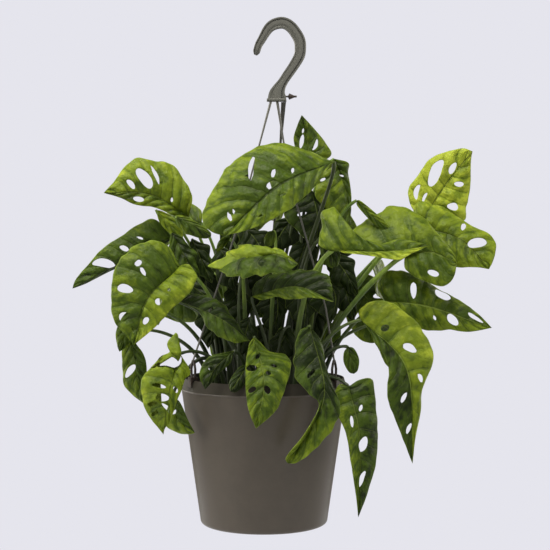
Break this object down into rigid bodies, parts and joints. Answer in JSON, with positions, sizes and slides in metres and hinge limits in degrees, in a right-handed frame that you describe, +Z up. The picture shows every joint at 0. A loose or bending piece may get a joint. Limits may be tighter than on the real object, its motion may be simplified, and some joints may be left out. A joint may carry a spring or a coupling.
{
  "type": "potted hanging monstera adansonii",
  "caption": "Bushy plant with long-stalked, hole-pierced green leaves growing from soil in a tapered plastic pot, hung from a plastic hook by thin strands clipped to the rim",
  "frame": {"origin": "the inside top of the hook, where it rests on the rail it hangs from", "axes": "+Z up, -Y out of the front of the plant as pictured, +X to the right seen from the front; the pot's axis is parallel to Z at X = -0.016"},
  "size_m": [0.4212, 0.2105, 0.5048],
  "materials": {
    "leaf": "satin",
    "petiole": "satin",
    "pot": "satin",
    "soil": "matte",
    "hanger": "satin"
  },
  "bodies": {
    "root": {"hanger_hook": "hanger", "hanger_strand_back": "hanger", "hanger_strand_left": "hanger", "hanger_strand_right": "hanger", "leaf_back_left": "leaf", "leaf_back_middle": "leaf", "leaf_back_right": "leaf", "leaf_big_left": "leaf", "leaf_centre_arched": "leaf", "leaf_centre_right": "leaf", "leaf_far_left": "leaf", "leaf_far_right": "leaf", "leaf_front": "leaf", "leaf_hanging_right": "leaf", "leaf_left_behind": "leaf", "leaf_low_left": "leaf", "leaf_low_left_behind": "leaf", "leaf_low_right": "leaf", "leaf_lower_left": "leaf", "leaf_outer_left": "leaf", "leaf_pale_right": "leaf", "leaf_right": "leaf", "leaf_rim_left": "leaf", "leaf_top": "leaf", "leaf_top_behind": "leaf", "leaf_top_right": "leaf", "leaf_twisting": "leaf", "leaf_under_top": "leaf", "leaf_upper_left": "leaf", "leaf_upper_right": "leaf", "leaf_yellow_right": "leaf", "petiole_back_left": "petiole", "petiole_back_middle": "petiole", "petiole_back_right": "petiole", "petiole_big_left": "petiole", "petiole_centre_arched": "petiole", "petiole_centre_right": "petiole", "petiole_far_left": "petiole", "petiole_far_right": "petiole", "petiole_front": "petiole", "petiole_hanging_right": "petiole", "petiole_left_behind": "petiole", "petiole_low_left": "petiole", "petiole_low_left_behind": "petiole", "petiole_low_right": "petiole", "petiole_lower_left": "petiole", "petiole_outer_left": "petiole", "petiole_pale_right": "petiole", "petiole_right": "petiole", "petiole_rim_left": "petiole", "petiole_top": "petiole", "petiole_top_behind": "petiole", "petiole_top_right": "petiole", "petiole_twisting": "petiole", "petiole_under_top": "petiole", "petiole_upper_left": "petiole", "petiole_upper_right": "petiole", "petiole_yellow_right": "petiole", "pot": "pot", "soil": "soil"}
  },
  "joints": []
}
